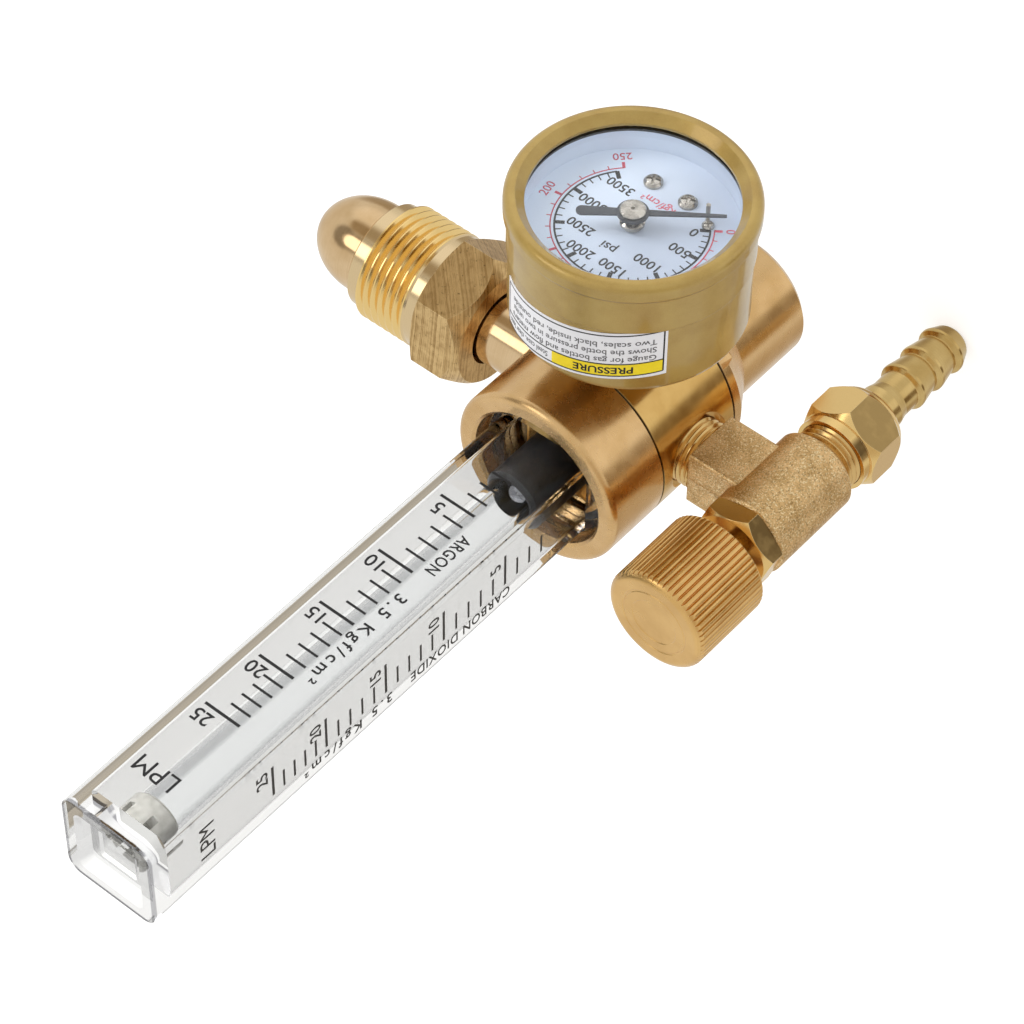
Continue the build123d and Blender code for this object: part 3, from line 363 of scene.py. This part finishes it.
# ---- clear and soft finishes ----
def clear_plastic(name, tint, side_shade_tint, edge_shade_tint, ior, wave_depth):
    """Clear moulding with painted shade: greyer on its sides and end, with a dark line round its end and its
    outline.

    Lamp light and long-trapped rays pass straight through.
    """
    made = Shader(name)
    # painted shade: faces turned sideways or up are tinted greyer
    normal = made.add("ShaderNodeNewGeometry").outputs["Normal"]
    split = made.add("ShaderNodeSeparateXYZ", {"Vector": normal})
    aside = made.math("ABSOLUTE", split.outputs["X"], 0.0)
    sideways = made.math("MAXIMUM", aside, split.outputs["Z"])
    colour = made.mix(made.ramp(sideways, 0.2, 0.8), tint, side_shade_tint)
    # painted shade: a dark line round the tube's outer end and along the outline
    place = made.add("ShaderNodeSeparateXYZ", {"Vector": made.place((BARREL.x, 0, TUBE_TOP))})
    across = made.math("ABSOLUTE", place.outputs["X"], 0.0)
    deep = made.math("ABSOLUTE", place.outputs["Y"], 0.0)
    outer = made.ramp(made.math("MAXIMUM", across, deep), (TUBE_HALF - 0.75) * MM, (TUBE_HALF - 0.55) * MM)
    end = made.ramp(place.outputs["Z"], -0.75 * MM, -0.55 * MM)
    turned_away = made.add("ShaderNodeLayerWeight", {"Blend": 0.5}).outputs["Facing"]
    outline = made.ramp(turned_away, 0.86, 0.97)
    colour = made.mix(made.math("MAXIMUM", made.math("MULTIPLY", outer, end), outline), colour, edge_shade_tint)
    normal = made.bump(made.noise(9, 1, (1, 1, 0.25)), wave_depth)
    haze = made.ramp(made.noise(0.6, 3), 0.4, 0.8, 0.0, 0.03)
    solid = made.surface(
        Base_Color=colour, Metallic=0.0, Roughness=haze, IOR=ior, Transmission_Weight=1.0, Normal=normal,
    )
    open_way = made.add("ShaderNodeBsdfTransparent", {"Color": colour}).outputs[0]
    path = made.add("ShaderNodeLightPath")
    trapped = made.math("GREATER_THAN", path.outputs["Glossy Depth"], 2.5)
    straight = made.math("MAXIMUM", path.outputs["Is Shadow Ray"], trapped)
    return made.finish(made.add("ShaderNodeMixShader", {0: straight, 1: solid, 2: open_way}).outputs[0])


def dull(name, colour, shade, roughness, size_mm=1.0, depth=0.01, sheen=0.0):
    """Rubber, plastic and print: matt with fine mottling."""
    made = Shader(name)
    rounded = made.round_normal(0.1)
    mottle = made.noise(size_mm, 4)
    body = made.mix(made.ramp(mottle, 0.3, 0.7), colour, shade)
    rough = made.ramp(made.noise(size_mm * 0.5, 3), 0.3, 0.7, roughness - 0.08, roughness + 0.08)
    normal = made.bump(mottle, depth, rounded)
    return made.finish(made.surface(
        Base_Color=body, Metallic=0.0, Roughness=rough, Normal=normal, Sheen_Weight=sheen,
    ))


def dial_enamel():
    """Pale blue-white dial with painted shade darker towards one side, fine tooth and a faint painted glow.
    """
    made = Shader("dial_enamel")
    split = made.add("ShaderNodeSeparateXYZ", {"Vector": made.place(tuple(GAUGE))})
    # painted shade: the dial is darker towards one side
    side = made.ramp(split.outputs["X"], -6 * MM, 10 * MM)
    body = made.mix(side, srgb(180, 190, 206), srgb(216, 227, 242))
    speck = made.mix(made.ramp(made.noise(0.3, 3), 0.66, 0.74, 0.0, 0.25), body, srgb(160, 168, 190))
    normal = made.bump(made.noise(0.5, 2), 0.002)
    # painted glow: a faint emission in the enamel's own colour brightens the dial
    return made.finish(made.surface(
        Base_Color=speck, Metallic=0.0, Roughness=0.38, Normal=normal, Coat_Weight=0.3, Coat_Roughness=0.1,
        Emission_Color=speck, Emission_Strength=0.12,
    ))


FINISHES = {
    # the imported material's name, and the finish that takes its place
    "barrel_brass": turned_metal(
        "barrel_brass_turned", srgb(228, 190, 120), srgb(206, 164, 94), "Z", tuple(BARREL),
        roughness=0.2, spread=0.06, brushed=0.55, seams=SEAMS),
    "lacquered_brass": turned_metal(
        "lacquered_brass_turned", srgb(232, 193, 138), srgb(214, 173, 114), "Z", tuple(BARREL),
        roughness=0.27, spread=0.08, brushed=0.6, coat=0.25, seams=SEAMS),
    "polished_brass": turned_metal(
        "polished_brass_turned", srgb(232, 202, 160), srgb(212, 178, 130), "X", (0, 0, 0),
        roughness=0.13, spread=0.05, brushed=0.35, lines_mm=0.3, line_depth=0.0008),
    "nut_brass": machined_nut(
        "nut_brass_machined", srgb(226, 192, 136), srgb(168, 132, 80),
        turned=srgb(228, 202, 158), thread=srgb(246, 212, 142)),
    "cast_brass": blasted_metal(
        "cast_brass_blasted", srgb(236, 198, 142), srgb(206, 168, 112),
        glint_and_wear=srgb(255, 236, 190), polished=srgb(220, 184, 122)),
    "knob_brass": turned_metal(
        "knob_brass_lacquered", srgb(236, 192, 120), srgb(218, 172, 100), "Z", tuple(VALVE),
        roughness=0.3, spread=0.1, brushed=0.4, coat=0.5, wear=0.5),
    "pale_brass": turned_metal(
        "pale_brass_turned", srgb(216, 186, 124), srgb(190, 156, 92), "Z", tuple(VALVE),
        roughness=0.2, spread=0.08, brushed=0.45),
    "inner_brass": plain_metal("inner_brass_machined", srgb(214, 178, 104), srgb(176, 138, 72)),
    "sintered_bronze": dull(
        "sintered_bronze_grains", srgb(168, 124, 74), srgb(112, 78, 44),
        roughness=0.5, size_mm=0.25, depth=0.05),
    "spring_steel": plain_metal(
        "spring_steel_drawn", srgb(150, 150, 152), srgb(104, 104, 108), roughness=0.32),
    "float_steel": plain_metal(
        "float_steel_polished", srgb(200, 200, 204), srgb(160, 160, 166), roughness=0.14),
    "nickel": plain_metal("nickel_plate", srgb(200, 194, 184), srgb(150, 144, 134), roughness=0.2),
    "clear_plastic": clear_plastic(
        "clear_plastic_moulded", srgb(252, 252, 251), srgb(205, 205, 205), srgb(120, 120, 124),
        ior=1.18, wave_depth=0.003),
    "black_plastic": dull(
        "black_plastic_moulded", srgb(26, 26, 28), srgb(40, 39, 40),
        roughness=0.35, size_mm=0.8, depth=0.004),
    "rubber": dull(
        "rubber_seal", srgb(22, 22, 22), srgb(34, 33, 32),
        roughness=0.6, size_mm=0.4, depth=0.01, sheen=0.2),
    "pointer_grey": dull(
        "pointer_paint", srgb(66, 70, 76), srgb(50, 53, 58), roughness=0.4, size_mm=0.6, depth=0.004),
    "dial_white": dial_enamel(),
    "lens": clear_plastic(
        "lens_clear", srgb(252, 253, 254), srgb(246, 248, 249), srgb(200, 204, 208),
        ior=1.4, wave_depth=0.001),
    "label": dull(
        "label_vinyl", srgb(246, 246, 250), srgb(238, 238, 244), roughness=0.4, size_mm=3.0, depth=0.004),
    "gold_paint": gloss_paint("gold_paint_gloss", srgb(184, 154, 82), srgb(170, 138, 68)),
}

SHADED_FLAT_WAY = (-0.73, -0.68, 0.0)      # the small nuts' flat with painted shade faces this way
SMALL_NUT = polished_nut("nut_brass_polished", srgb(236, 200, 132), srgb(120, 96, 58), SHADED_FLAT_WAY)
SMOKY_PLASTIC = dull(
    "smoky_plastic_moulded", srgb(196, 195, 190), srgb(170, 168, 162),
    roughness=0.3, size_mm=1.2, depth=0.004)
INNER_CLEAR = clear_plastic(
    "inner_clear_moulded", srgb(235, 236, 237), srgb(231, 232, 233), srgb(195, 195, 198),
    ior=1.18, wave_depth=0.002)
OWN_FINISH = {
    # nodes that look different from the others of their material
    "packing_nut": SMALL_NUT,
    "union_nut": SMALL_NUT,
    "float_stop": SMOKY_PLASTIC,
    "inner_tube": INNER_CLEAR,
}

for node_name, node in nodes.items():
    slot_name = node.data.materials[0].name.split(".")[0]
    node.data.materials[0] = OWN_FINISH.get(node_name, FINISHES[slot_name])


def ink(name, colour, shade, roughness=0.45, size_mm=0.5):
    """Printing ink."""
    return dull(name, colour, shade, roughness, size_mm, depth=0.003)


INK_BLACK = ink("ink_black", srgb(13, 13, 15), srgb(24, 24, 26))
INK_RED = ink("ink_red", srgb(204, 62, 84), srgb(218, 92, 112))
INK_YELLOW = ink("ink_yellow", srgb(255, 230, 36), srgb(248, 220, 28), size_mm=1.5)
INK_GREY = ink("ink_grey", srgb(70, 70, 74), srgb(120, 120, 124), roughness=0.5, size_mm=0.4)


# ---- printed marks: thin solids drawn flat in millimetres and laid on a surface ----
def letter_shape(words, boldness, spacing=1.0):
    """Closed mesh of some lettering in font size 1, as (vertices, faces): one unit thick and centred."""
    curve = bpy.data.curves.new("letters", "FONT")
    curve.body = words
    curve.align_x = "CENTER"
    curve.align_y = "CENTER"
    curve.extrude = 0.5
    curve.offset = boldness
    curve.space_character = spacing
    curve.resolution_u = 3
    letters = bpy.data.objects.new("letters", curve)
    bpy.context.scene.collection.objects.link(letters)
    bpy.context.view_layer.update()
    mesh = bpy.data.meshes.new_from_object(letters.evaluated_get(bpy.context.evaluated_depsgraph_get()))
    points = [tuple(v.co) for v in mesh.vertices]
    faces = [tuple(p.vertices) for p in mesh.polygons]
    bpy.data.objects.remove(letters)
    bpy.data.meshes.remove(mesh)
    bpy.data.curves.remove(curve)
    return points, faces


def capital_height():
    """Height of a figure in unscaled lettering."""
    heights = [y for _, y, _ in letter_shape("0", 0.0)[0]]
    return max(heights) - min(heights)


CAPITAL_HEIGHT = capital_height()


class Print:
    """Thin raised marks on one surface, joined into one piece."""

    def __init__(self, name, lay, ink, thickness=0.03):
        self.name = name
        self.lay = lay
        self.ink = ink
        self.thickness = thickness
        self.points = []
        self.faces = []

    def _take(self, points, faces):
        """Lay a flat drawing on the surface and keep it."""
        base = len(self.points)
        self.points += [self.lay(u, v, height) for u, v, height in points]
        self.faces += [tuple(base + index for index in face) for face in faces]

    def _strip(self, near, far):
        """Solid strip between two edges, each a list of as many (u, v) points."""
        count = len(near)
        last = count - 1
        points = [(u, v, h) for edge in (near, far) for h in (0.0, self.thickness) for u, v in edge]
        faces = [(0, 2 * count, 3 * count, count)]
        faces.append((last, count + last, 3 * count + last, 2 * count + last))
        for k in range(last):
            faces.append((k, k + 1, 2 * count + k + 1, 2 * count + k))
            faces.append((count + k, 3 * count + k, 3 * count + k + 1, count + k + 1))
            faces.append((k, count + k, count + k + 1, k + 1))
            faces.append((2 * count + k, 2 * count + k + 1, 3 * count + k + 1, 3 * count + k))
        self._take(points, faces)

    def bar(self, start, end, width, pieces=1):
        """Straight bar between two points, cut into pieces so that it can follow a curved surface."""
        along = Vector(end) - Vector(start)
        across = Vector((-along.y, along.x)).normalized() * (width / 2)
        near = [Vector(start) + along * (k / pieces) - across for k in range(pieces + 1)]
        far = [Vector(start) + along * (k / pieces) + across for k in range(pieces + 1)]
        self._strip(near, far)

    def arc(self, radius, width, first, last):
        """Ring part between two angles, in degrees clockwise from the top."""
        steps = 160
        angles = [first + (last - first) * k / steps for k in range(steps + 1)]
        inner = [dial_point(radius - width / 2, angle) for angle in angles]
        outer = [dial_point(radius + width / 2, angle) for angle in angles]
        self._strip(inner, outer)

    def words(self, text, height, middle, turn=0.0, boldness=0.0, length=None, spacing=1.0):
        """Lettering of a given capital height, centred on a point and turned anticlockwise by degrees."""
        points, faces = letter_shape(text, boldness, spacing)
        size = height / CAPITAL_HEIGHT
        reach = [p[0] for p in points]
        stretch = length / (size * (max(reach) - min(reach))) if length else 1.0
        cosine, sine = math.cos(math.radians(turn)), math.sin(math.radians(turn))
        placed = []
        for x, y, z in points:
            along, up = x * size * stretch, y * size
            placed.append((
                middle[0] + along * cosine - up * sine,
                middle[1] + along * sine + up * cosine,
                (z + 0.5) * self.thickness,
            ))
        self._take(placed, faces)

    def make(self):
        """Build the piece and let it ride on the body."""
        mesh = bpy.data.meshes.new(self.name)
        mesh.from_pydata([p * MM for p in self.points], [], self.faces)
        mesh.validate()
        mesh.materials.append(self.ink)
        piece = bpy.data.objects.new(self.name, mesh)
        bpy.context.scene.collection.objects.link(piece)
        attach(piece, "body")


def dial_point(radius, clockwise):
    """Point on the dial at an angle clockwise from the top."""
    angle = math.radians(clockwise)
    return (radius * math.sin(angle), radius * math.cos(angle))


# ---- gauge dial print ----
PRINT_GAP = 0.01              # prints start this far off their surface
PSI_MARKS = (234.2, 265.0, 301.4, 339.0, 376.8, 413.8, 452.2, 489.6)      # every 500 from 0 to 3500
KGF_MARKS = (234.2, 281.0, 334.3, 387.8, 441.6, 495.1)                    # every 50 from 0 to 250
PSI_NUMBERS = (
    ("0", -9.3, -6.0), ("500", -10.1, -0.9), ("1000", -7.8, 5.2), ("1500", -3.8, 10.0),
    ("2000", 3.3, 10.3), ("2500", 6.9, 5.9), ("3000", 9.0, 0.0), ("3500", 7.8, -6.4),
)


def on_dial(u, v, height):
    """Dial layout: u to the right and v up, from the gauge axis."""
    return Vector((GAUGE.x / MM + u, DIAL_FACE_Y / MM - PRINT_GAP - height, GAUGE.z / MM + v))


def ticks(sheet, marks, radius, minor_reach, major_reach, minor_width, major_width):
    """Scale ticks from a circle, inwards for negative reach, with four small ones between two marks."""
    for angle in marks:
        sheet.bar(dial_point(radius, angle), dial_point(radius + major_reach, angle), major_width)
    for first, second in zip(marks, marks[1:]):
        for index in range(1, 5):
            angle = first + (second - first) * index / 5
            sheet.bar(dial_point(radius, angle), dial_point(radius + minor_reach, angle), minor_width)


def make_dial_print():
    """Black psi scale inside, red kgf scale outside, and the two unit names."""
    black = Print("dial_print_black", on_dial, INK_BLACK)
    black.arc(13.85, 0.35, PSI_MARKS[0], PSI_MARKS[-1])
    ticks(black, PSI_MARKS, 13.9, minor_reach=-1.3, major_reach=-1.9, minor_width=0.24, major_width=0.8)
    for number, u, v in PSI_NUMBERS:
        black.words(number, 2.0, (u, v), boldness=0.012)
    black.words("psi", 2.0, (0, 6.74), boldness=0.008)
    black.make()
    red = Print("dial_print_red", on_dial, INK_RED)
    red.arc(14.6, 0.24, KGF_MARKS[0], KGF_MARKS[-1])
    ticks(red, KGF_MARKS, 14.55, minor_reach=0.9, major_reach=1.5, minor_width=0.2, major_width=0.55)
    for index, angle in enumerate(KGF_MARKS):
        upside = 180 if abs(angle % 360 - 180) < 60 else 0
        red.words(str(50 * index), 1.7, dial_point(17.6, angle), upside - angle, boldness=0.006)
    red.words("kgf/cm²", 1.7, (0, -7.34), boldness=0.006)
    red.make()


# ---- flow tube print ----
FLOW_HEIGHTS = (45.3, 62.1, 77.6, 93.2, 106.8)     # heights of the 5, 10, 15, 20 and 25 marks


def on_tube(turn):
    """Layout of one tube face: u to the right and v up, the front face turned about the tube."""
    cosine, sine = math.cos(math.radians(turn)), math.sin(math.radians(turn))

    def lay(u, v, height):
        out = -(TUBE_HALF + PRINT_GAP + height)
        x, y = u * cosine - out * sine, u * sine + out * cosine
        return Vector((BARREL.x / MM + x, y, v))
    return lay


def make_tube_scale(name, turn, gas, gas_ends, pressure_ends):
    """Flow marks, numbers and unit, with the gas name and preset pressure between their end heights."""
    sheet = Print(name, on_tube(turn), INK_BLACK)
    first_step = (FLOW_HEIGHTS[1] - FLOW_HEIGHTS[0]) / 5
    heights = [(FLOW_HEIGHTS[0] - first_step * k, False) for k in (3, 2, 1)]
    for index, major in enumerate(FLOW_HEIGHTS):
        heights.append((major, True))
        if index + 1 < len(FLOW_HEIGHTS):
            step = (FLOW_HEIGHTS[index + 1] - major) / 5
            heights += [(major + step * k, False) for k in range(1, 5)]
    for height, major in heights:
        sheet.bar((5.0 if major else 1.5, height), (-3.0, height), 0.6 if major else 0.5)
    for index, height in enumerate(FLOW_HEIGHTS):
        sheet.words(str(5 * (index + 1)), 2.8, (3.4, height + 2.5), boldness=0.012)
    for text, (low, high), spacing in ((gas, gas_ends, 1.1), ("3.5 Kgf/cm²", pressure_ends, 1.4)):
        sheet.words(text, 2.4, (-5.2, (low + high) / 2), 90, 0.014, length=high - low, spacing=spacing)
    sheet.words("LPM", 3.7, (1.0, 123.0))
    sheet.make()


# ---- case sticker print ----
STICKER_R = CASE_R / MM + 0.13
STICKER_MIDDLE = -9.5         # degrees about the gauge axis, from the top, negative towards the valve
STICKER_TILT = 7.5            # slope of its rows against the bezel
STICKER_DEPTH = 34.8          # distance of its middle from the barrel axis
STICKER_ROWS = (
    # words, where they start, how long they are and how far they are from the middle
    ("Gauge for gas bottles and flow meters", 16.1, 31.4, -1.05),
    ("Shows the bottle pressure in two units", 16.1, 31.0, 0.9),
    ("Two scales, black inside, red outside", 16.1, 31.2, 2.85),
    ("Steel case, clear lens", -4.4, 12.0, -3.65),
)


def on_sticker(u, v, height):
    """Sticker layout: u round the case towards the valve and v towards the bezel, from its middle."""
    angle = math.radians(STICKER_MIDDLE) - u / STICKER_R
    depth = v + u * math.tan(math.radians(STICKER_TILT))
    radius = STICKER_R + PRINT_GAP + height
    return Vector((
        GAUGE.x / MM + radius * math.sin(angle),
        -(STICKER_DEPTH + depth),
        GAUGE.z / MM + radius * math.cos(angle),
    ))


def make_sticker_print():
    """Border, separator, yellow band and rows of plain words on the case sticker."""
    half_w, half_h = 17.4, 5.15
    band_top = -2.15              # the yellow band runs from one edge to the separator
    band_end = -3.4
    border = Print("sticker_border", on_sticker, INK_BLACK, 0.02)
    for v in (-half_h, band_top, half_h):
        border.bar((-half_w, v), (half_w, v), 0.28, 40)
    for u in (-half_w, half_w):
        border.bar((u, -half_h), (u, half_h), 0.28)
    border.make()
    band = Print("sticker_band", on_sticker, INK_YELLOW, 0.015)
    middle = (band_top - half_h) / 2
    band.bar((band_end, middle), (half_w - 0.1, middle), band_top + half_h - 0.2, 30)
    band.make()
    rows = Print("sticker_words", on_sticker, INK_GREY, 0.02)
    for text, start, length, v in STICKER_ROWS:
        rows.words(text, 1.35, (start - length / 2, v), 180, 0.006, length=length)
    rows.make()
    title = Print("sticker_title", on_sticker, INK_BLACK, 0.03)
    title.words("PRESSURE", 1.6, (6.6, middle), 180, 0.02, length=11.0)
    title.make()


make_dial_print()
make_tube_scale("tube_scale_front", 0, "ARGON", (50.0, 60.4), (67.2, 92.0))
make_tube_scale("tube_scale_side", -90, "CARBON DIOXIDE", (44.0, 71.0), (76.0, 99.0))
make_sticker_print()


# ---- camera ----
RIGHT = Vector((-0.76328979, -0.00831391, -0.64600277))      # the picture's directions in the part's frame
DOWN = Vector((-0.49809957, 0.64437384, 0.58024062))
AHEAD = Vector((0.41144322, 0.76466544, -0.49598513))
CAMERA_PLACE = Vector((-0.347961, -0.551133, 0.390947))
LENS_LENGTH = 139.54          # millimetres, for a sensor 36 mm wide


def make_camera():
    """Camera at the fitted place, looking down the flow tube's length from the valve side."""
    data = bpy.data.cameras.new("camera")
    data.lens = LENS_LENGTH
    data.sensor_width = 36.0
    data.clip_start = 0.05
    data.clip_end = 50.0
    camera = bpy.data.objects.new("camera", data)
    turn = Matrix((RIGHT, -DOWN, -AHEAD)).transposed()
    camera.matrix_world = Matrix.Translation(CAMERA_PLACE) @ turn.to_4x4()
    bpy.context.scene.collection.objects.link(camera)
    bpy.context.scene.camera = camera


def seen_from(azimuth, elevation):
    """Direction from the part, as the camera sees it: 0 is towards the camera, 90 to the right, up is up."""
    flat, rise = math.radians(azimuth), math.radians(elevation)
    across = RIGHT * (math.cos(rise) * math.sin(flat))
    towards = -AHEAD * (math.cos(rise) * math.cos(flat))
    return across + towards - DOWN * math.sin(rise)


# ---- studio ----
WHITE = (1.0, 1.0, 1.0, 1.0)
TENT_LEVEL = 0.8
FLOOR_RADIUS = 6.0            # metres
FLOOR_GAP = 0.5               # below the lowest piece
PANELS = (
    # azimuth, elevation, inner and outer angle, strength, colour
    (-67, 16, 16, 26, 0.32, (1.0, 0.94, 0.86)),
    (-38, 44, 10, 20, 0.4, (1.0, 0.84, 0.62)),
    (-22, 76, 10, 30, 1.0, (1.0, 1.0, 1.0)),
    (160, 45, 12, 26, 0.45, (1.0, 0.88, 0.7)),
    (66, 17, 10, 22, 0.97, (1.0, 1.0, 1.0)),
    (133, -25, 10, 24, 0.55, (1.0, 0.88, 0.7)),
    (86, -6, 8, 16, 0.25, (1.0, 0.76, 0.5)),
    (20, -40, 10, 35, 0.6, (1.0, 0.9, 0.76)),
    (-54, 9, 11, 14, 2.3, (1.0, 0.99, 0.97)),
)


def make_world():
    """Pale tent with brighter and darker panels for the metal to mirror; the camera sees plain white."""
    world = bpy.data.worlds.new("studio")
    world.use_nodes = True
    sky = NodeBuilder(world.node_tree)
    direction = sky.add("ShaderNodeTexCoord").outputs["Generated"]
    light = (TENT_LEVEL, TENT_LEVEL, 0.98 * TENT_LEVEL, 1.0)
    for azimuth, elevation, inner, outer, strength, colour in PANELS:
        inputs = {0: direction, 1: seen_from(azimuth, elevation)}
        dot = sky.add("ShaderNodeVectorMath", inputs, operation="DOT_PRODUCT")
        fade = sky.add("ShaderNodeMapRange", {
            "Value": dot.outputs["Value"],
            "From Min": math.cos(math.radians(outer)),
            "From Max": math.cos(math.radians(inner)),
        }, interpolation_type="SMOOTHSTEP")
        panel = (*[strength * channel for channel in colour], 1.0)
        light = sky.mix(fade.outputs["Result"], light, panel)
    tent = sky.add("ShaderNodeBackground", {"Color": light})
    plain = sky.add("ShaderNodeBackground", {"Color": WHITE})
    path = sky.add("ShaderNodeLightPath")
    looking = sky.math("MAXIMUM", path.outputs["Is Camera Ray"], path.outputs["Is Transmission Ray"])
    seen = sky.add("ShaderNodeMixShader", {0: looking, 1: tent.outputs[0], 2: plain.outputs[0]})
    sky.add("ShaderNodeOutputWorld", {"Surface": seen.outputs[0]})
    bpy.context.scene.world = world


def make_floor():
    """Pale round floor just under the lowest piece; the metal mirrors the tent instead."""
    sides = 96
    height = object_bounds()[0].z - FLOOR_GAP * MM
    rim = []
    for side in range(sides):
        angle = 2 * math.pi * side / sides
        rim.append((BARREL.x + FLOOR_RADIUS * math.cos(angle), FLOOR_RADIUS * math.sin(angle), height))
    mesh = bpy.data.meshes.new("floor")
    mesh.from_pydata(rim, [], [tuple(range(sides))])
    made = Shader("floor_paper")
    tone = made.mix(made.ramp(made.noise(120, 3), 0.3, 0.7), (0.6, 0.6, 0.6, 1), (0.64, 0.64, 0.64, 1))
    mesh.materials.append(made.finish(made.surface(
        Base_Color=tone, Roughness=0.9, Specular_IOR_Level=0.1,
        Emission_Color=WHITE, Emission_Strength=0.66,
    )))
    floor = bpy.data.objects.new("floor", mesh)
    floor.visible_glossy = False
    bpy.context.scene.collection.objects.link(floor)


def make_lamp(name, direction, distance, size, power):
    """Soft white square lamp facing the part; distance and size in metres, power in watts."""
    data = bpy.data.lights.new(name, "AREA")
    data.shape = "SQUARE"
    data.size = size
    data.energy = power
    lamp = bpy.data.objects.new(name, data)
    lamp.location = BARREL + direction * distance
    lamp.rotation_mode = "QUATERNION"
    lamp.rotation_quaternion = (-direction).to_track_quat("-Z", "Y")
    lamp.visible_glossy = False
    bpy.context.scene.collection.objects.link(lamp)


make_camera()
make_world()
make_floor()
make_lamp("key_lamp", seen_from(-60, 35), distance=1.2, size=0.5, power=6.0)
make_lamp("fill_lamp", seen_from(70, 40), distance=1.3, size=0.8, power=5.0)
bpy.context.scene.view_settings.view_transform = "Standard"
